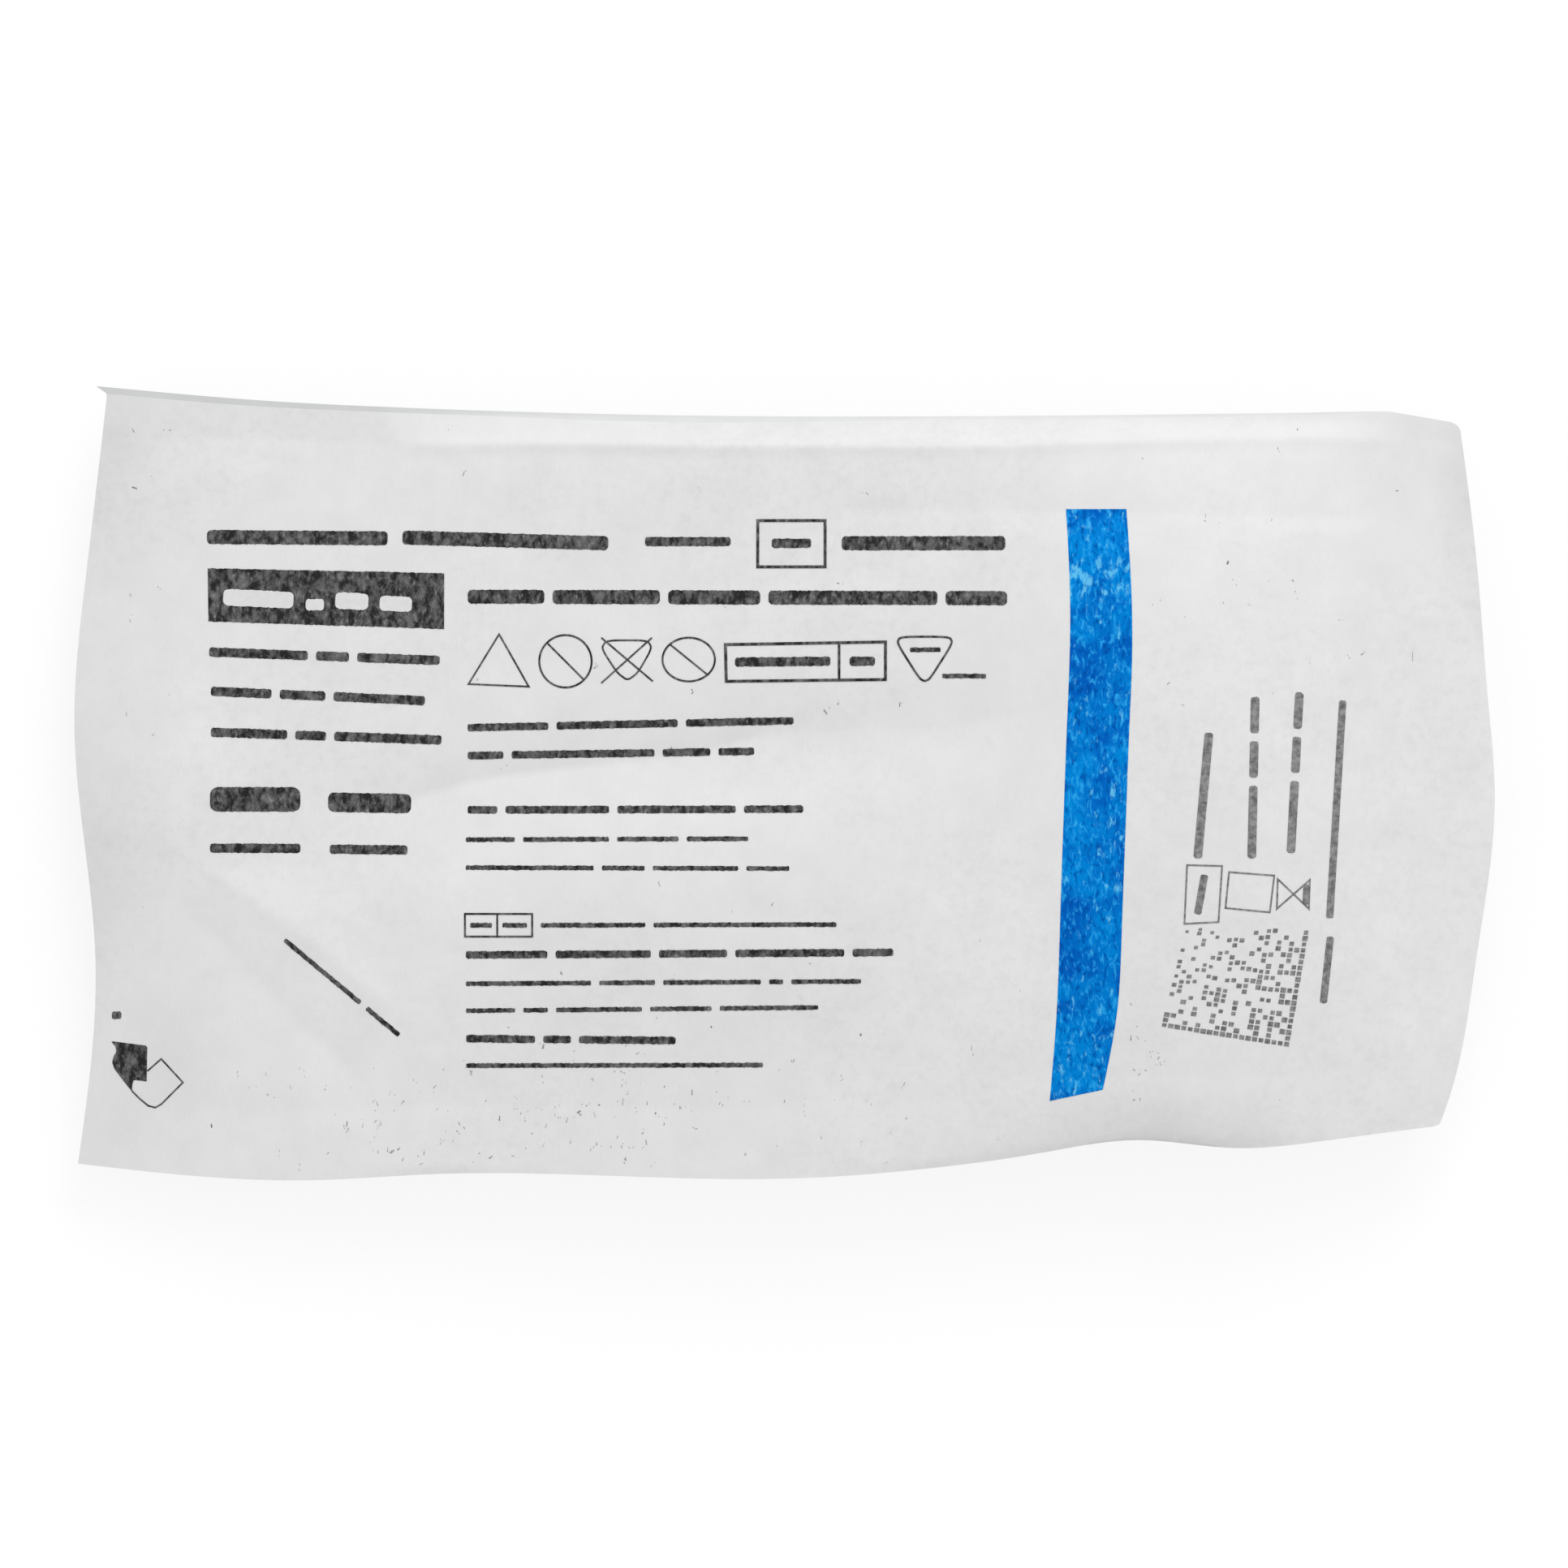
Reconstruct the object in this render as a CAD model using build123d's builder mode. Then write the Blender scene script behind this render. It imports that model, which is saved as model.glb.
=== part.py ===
from build123d import *
import os
from math import cos, exp, pi, radians, tan

# Sealed peel pouch for a small medical set: a paper web welded to a formed film web.
# It lies on its filled film belly, paper side up. X runs along the pouch, Y across it
# and Z up. The origin is at the middle of the laid pouch, on the surface it rests on.
# Sizes are in millimetres and slopes in degrees.

# The sheet as it lies, from its furthest point to its furthest point
pouch_length = 163.0
pouch_width = 91.2
web_thickness = 0.3

# Welded bands round the filled space
left_seal = 8.5
right_seal = 9.0
top_seal = 4.4
bottom_seal = 8.0

# Height of the welded bands at their inner edge: at a left corner, half way along a long
# side and half way along a short side. The bulkiest contents lift the right end more
corner_height = 7.0
side_height = 10.5
end_height = 8.6
right_lift = 3.0

# Slope of the bands down and out from the filled space
end_droop = 12.0
bottom_droop = 4.0
top_fold = 38.0
roll_under = 12.0
fold_middle = 13.0
fold_reach = 59.0
roll_middle = 42.0
roll_spread = 16.0

# Rise of the taut paper above the welds, and what is added to it by the tube holder at the
# right, which lifts the bottom weld as well, and by the coil of tubing at the lower left
paper_rise = 2.2
holder_rise = 3.8
holder_middle = 50.0
holder_spread = 20.0
coil_rise = 1.3
coil_middle = (-15.0, -15.0)
coil_spread = (35.0, 13.0)

# The valley that runs up to the right between the bulges
valley_depth = 1.0
valley_width = 6.5
valley_middle = 3.7
valley_climb = 0.155
valley_centre = -4.0
valley_reach = 36.0

# How squarely each arch meets its ends: 2 is a round arch, more is flatter in the middle
# with steeper ends. The weld along a short side, the filling at the end welds and at the
# long welds, the paper over it, the weld along a long side and the fold of the top band
end_weld_squareness = 2
end_squareness = 5
side_squareness = 4
paper_squareness = 2.3
weld_squareness = 2.2
fold_squareness = 6

# How far the formed film is pressed flat by the surface it rests on
belly_flattening = 0.7

half_length = pouch_length / 2
half_width = pouch_width / 2

# Corners of the sheet, each pulled in from the box round it by its own insets. The one at
# the top right is cut off at a slant
bottom_left = (-half_length + 0.3, -half_width + 1.8)
top_left = (-half_length + 3.7, half_width - 0.9)
film_tip = (-half_length + 2.4, half_width)
top_right = (half_length - 12.3, half_width - 3.0)
cut_corner = (half_length - 4.0, half_width - 4.4)
cut_radius = 0.9
bottom_right = (half_length - 5.4, -half_width + 6.4)

# Edges bowed by the filling, as pairs of a share of the half run and an inset
top_bow = [(-0.74, 1.7), (-0.46, 2.8), (-0.12, 3.5), (0.15, 3.6), (0.6, 3.3)]
bottom_bow = [(-0.66, 0.0), (-0.5, 0.7), (0.02, 0.3), (0.2, 1.4), (0.36, 3.2), (0.5, 4.7),
              (0.63, 3.8), (0.76, 4.6)]
left_bow = [(-0.44, 2.4), (0.13, 0.0), (0.54, 1.4)]
right_bow = [(-0.44, 2.1), (-0.03, 0.0), (0.2, 0.75), (0.54, 2.0)]


def inset_at(bow, share):
    """Inset of a bowed edge at a share of its half run, straight from point to point."""
    for (near, inset), (far, next_inset) in zip(bow, bow[1:]):
        if share <= far:
            return inset + (next_inset - inset) * max(share - near, 0) / (far - near)
    return bow[-1][1]


def hump(place, middle, spread):
    """Smooth bell of height 1 round the middle."""
    return exp(-(((place - middle) / spread) ** 2))


def arch(place, squareness):
    """Arch of height 1 in the middle, falling to 0 at the places -1 and 1."""
    return 1 - abs(place) ** squareness


# The filled space runs from weld to weld. A place in it is given as along, from -1 at
# the left weld to 1 at the right one, and across, from -1 at the bottom to 1 at the top
weld_left = -half_length + left_seal * cos(radians(end_droop))
weld_right = half_length - right_seal * cos(radians(end_droop))
weld_middle = (weld_left + weld_right) / 2
weld_half = (weld_right - weld_left) / 2


def x_at(along):
    return weld_middle + along * weld_half


def top_slope(along):
    """Slope of the top band: folded down on its long middle stretch, flat at its ends."""
    return top_fold * arch(min(abs(x_at(along) - fold_middle) / fold_reach, 1), fold_squareness)


def bottom_slope(along):
    """Slope of the bottom band, which rolls under near its right end."""
    return bottom_droop + roll_under * hump(x_at(along), roll_middle, roll_spread)


def weld_top(along):
    """Y of the top band's inner edge."""
    reach = half_width - inset_at(top_bow, x_at(along) / half_length)
    return reach - top_seal * cos(radians(top_slope(along)))


def weld_bottom(along):
    """Y of the bottom band's inner edge."""
    reach = half_width - inset_at(bottom_bow, x_at(along) / half_length)
    return -reach + bottom_seal * cos(radians(bottom_slope(along)))


def y_at(along, across):
    low, high = weld_bottom(along), weld_top(along)
    return (low + high) / 2 + across * (high - low) / 2


def lift(along):
    """How much higher the pouch lies than at its left end."""
    return right_lift * (1 + along) / 2


def holder_lift(along):
    """How much the tube holder lifts the paper, most of it where the holder is."""
    bell = hump(x_at(along), holder_middle, holder_spread)
    return holder_rise * bell * arch(along, end_squareness)


def weld_height(along, across):
    """Height of the surface in which the two webs would meet."""
    middle = arch(along, weld_squareness)
    long_side = corner_height + (side_height - corner_height) * middle
    short_side = (end_height - corner_height) * arch(across, end_weld_squareness) * (1 - middle)
    return long_side + short_side + lift(along) + holder_lift(along) * ((1 - across) / 2) ** 2


def paper_height(along, across):
    """Height of the paper: taut over the welds, with two bulges and the valley between."""
    x, y = x_at(along), y_at(along, across)
    taut = paper_rise * arch(along, end_squareness) * arch(across, paper_squareness)
    over_holder = arch(max(across, 0), weld_squareness) - ((1 - across) / 2) ** 2
    coil = coil_rise * hump(x, coil_middle[0], coil_spread[0]) * hump(y, coil_middle[1], coil_spread[1])
    valley = (valley_depth * hump(y, valley_middle + valley_climb * x, valley_width)
              * hump(x, valley_centre, valley_reach))
    inside = arch(along, end_squareness) * arch(across, side_squareness)
    return (weld_height(along, across) + web_thickness + taut + holder_lift(along) * over_holder
            + (coil - valley) * inside)


def film_height(along, across):
    """Height of the film: a shallow tray with soft walls, down to the resting surface."""
    depth = side_height + lift(along) + belly_flattening
    inside = arch(along, end_squareness) * arch(across, side_squareness)
    return weld_height(along, across) - depth * inside


# Section planes and points across them lie closer together towards the welds
section_count = 19
points_across = 15
past_outline = 6.0
band_reach = max(left_seal, right_seal, top_seal, bottom_seal) + past_outline


def from_weld_to_weld(count):
    """Places from -1 to 1, closer together near both ends."""
    return [-cos(pi * i / (count - 1)) for i in range(count)]


def web_line(height, along, lowered):
    """Points across one web, from the bottom weld to the top one."""
    return [(y_at(along, across), height(along, across) - lowered)
            for across in from_weld_to_weld(points_across)]


def band_end(weld_point, side, slope):
    """Outer end of a band that slopes down from the weld, past the sheet's outline."""
    return (weld_point[0] + side * band_reach, weld_point[1] - band_reach * tan(radians(slope)))


# Three runs of sections, each of them (x, along, lowered): the left band, the filled
# space and the right band
end_drop = band_reach * tan(radians(end_droop))
left_run = [(weld_left - band_reach, -1, end_drop), (weld_left, -1, 0)]
filled_run = [(x_at(along), along, 0) for along in from_weld_to_weld(section_count)]
right_run = [(weld_right, 1, 0), (weld_right + band_reach, 1, end_drop)]

with BuildPart() as sealed_pouch:
    for run in (left_run, filled_run, right_run):
        for x, along, lowered in run:
            paper = web_line(paper_height, along, lowered)
            film = web_line(film_height, along, lowered)
            with BuildSketch(Plane.YZ.offset(x)):
                with BuildLine():
                    Spline(*paper)
                    Spline(*film)
                    Polyline(paper[-1], band_end(paper[-1], 1, top_slope(along)),
                             band_end(film[-1], 1, top_slope(along)), film[-1])
                    Polyline(paper[0], band_end(paper[0], -1, bottom_slope(along)),
                             band_end(film[0], -1, bottom_slope(along)), film[0])
                make_face()
        loft()

    # Trim to the sheet's outline, and flat where the film rests
    with BuildSketch() as outline:
        with BuildLine():
            Spline(film_tip, *[(share * half_length, half_width - inset) for share, inset in top_bow],
                   top_right)
            Line(top_right, cut_corner)
            Spline(bottom_right, *[(half_length - inset, share * half_width)
                                   for share, inset in right_bow], cut_corner)
            Spline(bottom_left, *[(share * half_length, inset - half_width)
                                  for share, inset in bottom_bow], bottom_right)
            Spline(bottom_left, *[(inset - half_length, share * half_width)
                                  for share, inset in left_bow], top_left)
            Line(top_left, film_tip)
        make_face()
        fillet(outline.vertices().sort_by_distance(cut_corner)[0], radius=cut_radius)
    extrude(amount=2 * (side_height + right_lift), mode=Mode.INTERSECT)

sealed_pouch.part.label = "sealed_pouch"
os.makedirs("parts", exist_ok=True)
export_step(sealed_pouch.part, "parts/sealed_pouch.step")
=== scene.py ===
import bpy
import numpy as np
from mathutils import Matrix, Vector


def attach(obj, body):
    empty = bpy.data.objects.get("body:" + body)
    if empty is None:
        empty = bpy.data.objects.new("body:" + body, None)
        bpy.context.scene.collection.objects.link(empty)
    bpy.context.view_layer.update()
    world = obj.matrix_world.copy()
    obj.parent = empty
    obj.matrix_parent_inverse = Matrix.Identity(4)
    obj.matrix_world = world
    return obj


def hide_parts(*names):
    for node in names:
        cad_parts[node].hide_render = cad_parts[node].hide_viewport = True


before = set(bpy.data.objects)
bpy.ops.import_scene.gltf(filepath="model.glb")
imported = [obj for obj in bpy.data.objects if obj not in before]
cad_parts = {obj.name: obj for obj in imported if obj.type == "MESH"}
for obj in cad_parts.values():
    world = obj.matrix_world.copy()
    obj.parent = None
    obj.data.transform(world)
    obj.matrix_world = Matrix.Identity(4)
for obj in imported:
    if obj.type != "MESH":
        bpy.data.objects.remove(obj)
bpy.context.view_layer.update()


# The studio: a wide pale table under soft light. A large soft box leans in from beyond the
# folded long edge, and the rest of the room is an even white. The camera looks straight down.
CAMERA_HEIGHT = 1.6
VIEW_WIDTH = 0.1799
SENSOR_WIDTH = 36.0
VIEW_MIDDLE = (0.0, -0.00014)
MEAN_HEIGHT = 0.009
ROOM_LIGHT = 0.74
SOFT_BOX_SIDE = 0.9
SOFT_BOX_PLACE = (0.38, 1.30, 1.05)
SOFT_BOX_POWER = 13.0
TABLE_SIDE = 8.0
TABLE_GREY = "#F4F4F4"
TABLE_LIFT = 0.80
TABLE_GLOW = 1.04


def linear(hex_colour):
    """sRGB hex as linear red, green, blue and alpha: c / 12.92 on the toe, and above it
    ((c + 0.055) / 1.055) ** 2.4."""
    parts = [int(hex_colour[i:i + 2], 16) / 255 for i in (1, 3, 5)]
    return [c / 12.92 if c <= 0.04045 else ((c + 0.055) / 1.055) ** 2.4 for c in parts] + [1.0]


def add_node(tree, kind, inputs=None, **settings):
    """Adds a node. Its inputs are numbers and colours, or the sockets that feed them."""
    made = tree.nodes.new(kind)
    for name, value in settings.items():
        setattr(made, name, value)
    for socket, value in (inputs or {}).items():
        if isinstance(value, bpy.types.NodeSocket):
            tree.links.new(value, made.inputs[socket])
        else:
            made.inputs[socket].default_value = value
    return made


def seen_in_mirrors_and_glass(tree):
    """1 for rays from the camera and those that gloss and glass send on, 0 for light itself."""
    path = add_node(tree, "ShaderNodeLightPath")
    either = add_node(tree, "ShaderNodeMath", {
        0: path.outputs["Is Camera Ray"], 1: path.outputs["Is Glossy Ray"]}, operation="MAXIMUM")
    return add_node(tree, "ShaderNodeMath", {
        0: either.outputs[0], 1: path.outputs["Is Transmission Ray"]},
        operation="MAXIMUM").outputs[0]


def empty_finish(name):
    """A material that has no nodes yet, and its node tree."""
    finish = bpy.data.materials.new(name)
    finish.use_nodes = True
    finish.node_tree.nodes.clear()
    return finish, finish.node_tree


scene = bpy.context.scene
room = bpy.data.worlds.new("even_white_room")
room.use_nodes = True
room_tree = room.node_tree
room_tree.nodes.clear()
room_seen = seen_in_mirrors_and_glass(room_tree)
room_strength = add_node(room_tree, "ShaderNodeMapRange", {
    "Value": room_seen, "To Min": ROOM_LIGHT, "To Max": 1.0})
room_light = add_node(room_tree, "ShaderNodeBackground", {
    "Color": linear("#FFFFFF"), "Strength": room_strength.outputs[0]})
add_node(room_tree, "ShaderNodeOutputWorld", {"Surface": room_light.outputs[0]})
scene.world = room

# White laminate table top: matt, and lifted to plain white where the camera sees it
table_finish, table_tree = empty_finish("matt_white_laminate")
table_seen = seen_in_mirrors_and_glass(table_tree)
table_matt = add_node(table_tree, "ShaderNodeBsdfDiffuse", {"Color": linear(TABLE_GREY)})
table_strength = add_node(table_tree, "ShaderNodeMath", {
    0: table_seen, 1: TABLE_LIFT}, operation="MULTIPLY")
table_glow = add_node(table_tree, "ShaderNodeEmission", {
    "Color": linear("#FFFFFF"), "Strength": TABLE_GLOW})
table_both = add_node(table_tree, "ShaderNodeMixShader", {
    0: table_strength.outputs[0], 1: table_matt.outputs[0], 2: table_glow.outputs[0]})
add_node(table_tree, "ShaderNodeOutputMaterial", {"Surface": table_both.outputs[0]})
table_mesh = bpy.data.meshes.new("table_top")
table_mesh.from_pydata([(x * TABLE_SIDE / 2, y * TABLE_SIDE / 2, 0)
                        for x, y in ((-1, -1), (1, -1), (1, 1), (-1, 1))], [], [(0, 1, 2, 3)])
table_mesh.materials.append(table_finish)
table = bpy.data.objects.new("table_top", table_mesh)
scene.collection.objects.link(table)

soft_box_light = bpy.data.lights.new("soft_box", "AREA")
soft_box_light.shape = "SQUARE"
soft_box_light.size = SOFT_BOX_SIDE
soft_box_light.energy = SOFT_BOX_POWER
soft_box = bpy.data.objects.new("soft_box", soft_box_light)
soft_box.location = SOFT_BOX_PLACE
soft_box.rotation_euler = (-Vector(SOFT_BOX_PLACE)).to_track_quat("-Z", "Y").to_euler()
scene.collection.objects.link(soft_box)

lens = bpy.data.cameras.new("camera")
lens.sensor_width = SENSOR_WIDTH
lens.lens = SENSOR_WIDTH * (CAMERA_HEIGHT - MEAN_HEIGHT) / VIEW_WIDTH
camera = bpy.data.objects.new("camera", lens)
camera.location = (*VIEW_MIDDLE, CAMERA_HEIGHT)
scene.collection.objects.link(camera)
scene.camera = camera
scene.view_settings.view_transform = "Standard"


# The paper web: the printed front of the pouch, a spun sheet of fine plastic fibres, white and
# matt. It is cut to a rectangle, welded all round to the web behind it, and bows and creases
# over what is sealed inside.
METRE = 1000  # in mm, as all sizes of the pouch
POUCH_LENGTH, POUCH_WIDTH = 163.0, 91.2
HALF_LENGTH, HALF_WIDTH = POUCH_LENGTH / 2, POUCH_WIDTH / 2
WEB_THICKNESS, PAPER_THICKNESS = 0.3, 0.15
LEFT_SEAL, RIGHT_SEAL, TOP_SEAL, BOTTOM_SEAL = 8.5, 9.0, 4.4, 8.0
CORNER_HEIGHT, SIDE_HEIGHT, END_HEIGHT, RIGHT_LIFT = 7.0, 10.5, 8.6, 3.0
END_DROOP, BOTTOM_DROOP, TOP_FOLD, ROLL_UNDER = np.radians([12.0, 4.0, 38.0, 12.0])
FOLD_MIDDLE, FOLD_REACH, ROLL_MIDDLE, ROLL_SPREAD = 13.0, 59.0, 42.0, 16.0
PAPER_RISE = 2.2
HOLDER_RISE, HOLDER_MIDDLE, HOLDER_SPREAD = 3.8, 50.0, 20.0
COIL_RISE, COIL_MIDDLE, COIL_SPREAD = 1.3, (-15.0, -15.0), (35.0, 13.0)
VALLEY_DEPTH, VALLEY_WIDTH, VALLEY_MIDDLE, VALLEY_CLIMB = 1.0, 6.5, 3.7, 0.155
VALLEY_CENTRE, VALLEY_REACH = -4.0, 36.0
END_SQUARENESS, SIDE_SQUARENESS, PAPER_SQUARENESS = 5, 4, 2.3
WELD_SQUARENESS, END_WELD_SQUARENESS, FOLD_SQUARENESS, CREASE_SQUARENESS = 2.2, 2, 6, 16
BELLY_FLATTENING = 0.7
WELD_LEFT = -HALF_LENGTH + LEFT_SEAL * np.cos(END_DROOP)
WELD_RIGHT = HALF_LENGTH - RIGHT_SEAL * np.cos(END_DROOP)

BOTTOM_LEFT = (-HALF_LENGTH + 0.3, -HALF_WIDTH + 1.8)
TOP_LEFT = (-HALF_LENGTH + 3.7, HALF_WIDTH - 0.9)
FILM_TIP = (-HALF_LENGTH + 2.4, HALF_WIDTH)
TOP_RIGHT = (HALF_LENGTH - 12.3, HALF_WIDTH - 3.0)
CUT_CORNER = (HALF_LENGTH - 4.0, HALF_WIDTH - 4.4)
CORNER_TURN = 1.0
TOP_BOW = [(-0.74, 1.7), (-0.46, 2.8), (-0.12, 3.5), (0.15, 3.6), (0.6, 3.3)]
BOTTOM_BOW = [(-0.66, 0.0), (-0.5, 0.7), (0.02, 0.3), (0.2, 1.4), (0.36, 3.2), (0.5, 4.7),
              (0.63, 3.8), (0.76, 4.6)]
LEFT_BOW = [(-0.44, 2.4), (0.13, 0.0), (0.54, 1.4)]
RIGHT_BOW = [(-0.44, 2.1), (-0.03, 0.0), (0.2, 0.75), (0.54, 2.0)]
# The corner at the bottom right is worn back and rounded, with the end of the edge beside it
WORN_CORNER = (HALF_LENGTH - 6.35, -HALF_WIDTH + 6.25)
WORN_EDGE = [(-0.8, 5.3)]
WORN_CORNER_TURN = 0.5

# Creases that the filling presses into the paper: the points of a line, then height and half
# width in mm. A ridge has a height above 0 and a furrow one below it. The furrow along the
# valley is laid four times over, each time less far to the right, so it fades that way
VALLEY_LINE = [(-45.0, -2.6), (-35.0, 0.3), (-27.8, 1.3), (-10.0, 3.3), (-4.3, 5.0), (1.0, 6.1),
               (18.0, 5.6), (31.1, 8.8)]
CREASES = [
    (VALLEY_LINE, -0.10, 2.7), (VALLEY_LINE[:6], -0.20, 2.5), (VALLEY_LINE[:5], -0.20, 2.5),
    (VALLEY_LINE[:3], -0.12, 2.5),
    ([(-65.0, -10.5), (-52.5, -19.3), (-46.5, -25.0)], 0.42, 2.5),
    ([(-69.9, -13.1), (-49.0, -34.0)], -0.28, 2.5),
    ([(-65.5, -9.2), (-52.5, -9.8)], -0.10, 2.2),
    ([(7.8, 31.3), (66.0, 30.4)], -0.26, 2.4),
    ([(68.1, 28.5), (65.0, 24.0), (64.8, 13.2)], 0.30, 1.8),
    ([(67.5, 22.0), (64.8, 15.0)], -0.12, 0.9),
    ([(57.2, 6.9), (63.7, 1.4)], -0.22, 2.6),
    ([(-75.6, 14.0), (-70.2, -11.0)], 0.22, 2.4),
    ([(-45.5, 41.0), (-38.0, 36.5)], -0.18, 1.8),
    ([(-38.9, 24.0), (-20.0, 31.0)], 0.10, 3.5),
    ([(-70.0, 28.0), (-60.0, 20.0)], -0.14, 3.0),
    ([(5.0, 20.0), (24.0, 25.5)], 0.16, 4.0),
    ([(25.0, 28.0), (42.0, 26.0)], 0.18, 3.2),
    ([(56.0, 28.5), (68.0, 29.0)], 0.16, 2.6),
    ([(-50.0, -20.5), (-30.0, -18.8)], -0.14, 2.6),
    ([(-5.0, -14.0), (14.0, -21.0), (22.0, -35.0)], -0.16, 3.4),
    ([(2.0, -29.0), (8.0, -38.0)], -0.14, 2.4),
]
# Patches of painted shade, where the paper is drawn darker, and below zero of painted light,
# where it is drawn lighter, for shading the relief doesn't give: middle, reach, and how much
# less light comes back
PAINTED_SHADE_PLACES = [
    ((-78.5, 37.0), (6.0, 10.0), 0.085), ((-80.0, -9.0), (5.5, 14.0), 0.085),
    ((-71.0, -31.0), (4.5, 6.0), 0.055), ((79.0, 35.0), (4.0, 9.0), 0.12),
    ((80.5, 20.5), (1.8, 4.5), 0.06), ((70.5, 36.5), (4.0, 5.0), 0.04),
    ((-10.0, 31.5), (50.0, 8.5), 0.048), ((-50.0, -29.0), (19.0, 14.0), -0.045),
    ((-56.0, -12.0), (7.0, 4.5), -0.05), ((10.0, -35.0), (36.0, 8.0), -0.018),
    ((-10.0, 41.5), (36.0, 2.5), 0.03), ((41.0, -42.5), (14.0, 2.4), 0.05),
    ((70.5, -24.0), (8.0, 9.5), -0.022), ((66.0, 17.5), (1.4, 3.8), 0.035),
    ((23.6, -20.8), (11.0, 9.0), -0.054), ((-67.5, 5.2), (7.5, 7.0), -0.052),
    ((-37.8, -11.8), (7.0, 5.5), -0.047),
]
# The fold's bead, and how much of the top seal the fold takes between two places along it
FOLD_BEAD, FOLD_BEAD_REACH = 0.21, 0.95
SEAL_LOSS, SEAL_LOSS_RUN = 1.3, (25.0, 62.0)
# The cut edge curls up a little along the fold, and down where the bottom edge is rubbed: how
# far, over what width, and for the bottom edge the middle and spread of each place along it
FOLD_CURL, FOLD_CURL_WIDTH = 0.33, 1.25
EDGE_CURL, EDGE_CURL_WIDTH = 0.21, 1.3
EDGE_CURLS = [(-38.5, 8.0), (17.5, 9.0), (42.0, 13.0)]
TOP_RIM = (0.7, 0.6, 0.75, 0.45, 0.4)
PAPER_GRID = (240, 200)
SLANT_POINTS, HALF_TURN = 60, 4
CREASE_CREST = 0.3
SHARP_ANGLE = np.radians(60)


def smooth_line(points, count=300):
    """Natural cubic through the points, parted by their chords: the bends at the points solve one
    linear system, and each run is the cubic that its two bends fix."""
    points = np.array(points, float)
    knots = np.concatenate([[0], np.cumsum(np.hypot(*np.diff(points, axis=0).T))])
    step = np.diff(knots)
    system, pull = np.eye(len(points)), np.zeros_like(points)
    inner = np.arange(1, len(points) - 1)
    system[inner, inner - 1] = step[:-1]
    system[inner, inner] = 2 * (step[:-1] + step[1:])
    system[inner, inner + 1] = step[1:]
    pull[1:-1] = 6 * np.diff(np.diff(points, axis=0) / step[:, None], axis=0)
    bends = np.linalg.solve(system, pull)
    at = np.linspace(0, knots[-1], count)
    run = np.clip(np.searchsorted(knots, at) - 1, 0, len(step) - 1)
    past, left = (at - knots[run])[:, None], (knots[run + 1] - at)[:, None]
    width = step[run][:, None]
    return ((bends[run] * left ** 3 + bends[run + 1] * past ** 3) / (6 * width)
            + (points[run] / width - bends[run] * width / 6) * left
            + (points[run + 1] / width - bends[run + 1] * width / 6) * past)


def evenly(line, count):
    """Points spread evenly by length along a line of many short runs."""
    reach = np.concatenate([[0], np.cumsum(np.hypot(*np.diff(line, axis=0).T))])
    at = np.linspace(0, reach[-1], count)
    return np.stack([np.interp(at, reach, line[:, 0]), np.interp(at, reach, line[:, 1])], -1)


def between_edges(bottom, top, left, right):
    """Places over a sheet with four bowed edges: the blend of its bottom and top edges, plus the
    blend of its left and right edges, less the blend of its corners (a Coons patch)."""
    across = np.linspace(0, 1, len(bottom))[None, :, None]
    up = np.linspace(0, 1, len(left))[:, None, None]
    corners = ((1 - across) * ((1 - up) * bottom[0] + up * top[0])
               + across * ((1 - up) * bottom[-1] + up * top[-1]))
    return ((1 - up) * bottom[None] + up * top[None]
            + (1 - across) * left[:, None] + across * right[:, None] - corners)


def turned(first, second, reach):
    """Two edges that both end in one corner, cut back by reach from it and led on to the middle
    of a parabola between their new ends."""
    corner = first[-1]
    first = first[np.hypot(*(first - corner).T) > reach]
    second = second[np.hypot(*(second - corner).T) > reach]
    share = np.linspace(0, 1, 2 * HALF_TURN + 1)[:, None]
    turn = (1 - share) ** 2 * first[-1] + 2 * share * (1 - share) * corner + share ** 2 * second[-1]
    return (np.concatenate([first, turn[:HALF_TURN + 1]]),
            np.concatenate([second, turn[:HALF_TURN - 1:-1]]))


def sheet_places(rows, columns, top_left_corner, top_rim=(0, 0, 0, 0, 0)):
    """The pouch's outline as four edges, and the places between them. The top rim is how far
    the sheet stays back from the outline at each point of its top edge."""
    bottom = [(s * HALF_LENGTH, inset - HALF_WIDTH) for s, inset in BOTTOM_BOW]
    bottom = smooth_line([BOTTOM_LEFT, *bottom, WORN_CORNER])
    top = [(s * HALF_LENGTH, HALF_WIDTH - inset - rim) for (s, inset), rim in zip(TOP_BOW, top_rim)]
    top = smooth_line([top_left_corner, *top, TOP_RIGHT])
    left = [(inset - HALF_LENGTH, s * HALF_WIDTH) for s, inset in LEFT_BOW]
    left = smooth_line([BOTTOM_LEFT, *left, TOP_LEFT])
    right = [(HALF_LENGTH - inset, s * HALF_WIDTH) for s, inset in WORN_EDGE + RIGHT_BOW]
    right = smooth_line([WORN_CORNER, *right, CUT_CORNER])
    slant = np.linspace(TOP_RIGHT, CUT_CORNER, SLANT_POINTS)
    top, right = turned(np.concatenate([top, slant[1:]]), right, CORNER_TURN)
    bottom, right = turned(bottom, right[::-1], WORN_CORNER_TURN)
    return between_edges(evenly(bottom, columns), evenly(top, columns),
                         evenly(np.concatenate([left, [top_left_corner]]), rows),
                         evenly(right[::-1], rows))


def arch(place, squareness):
    """Arch of height 1 in the middle, falling to 0 at the places -1 and 1."""
    return 1 - np.abs(place) ** squareness


def hump(place, middle, spread):
    """Smooth bell of height 1 round the middle."""
    return np.exp(-((place - middle) / spread) ** 2)


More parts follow.
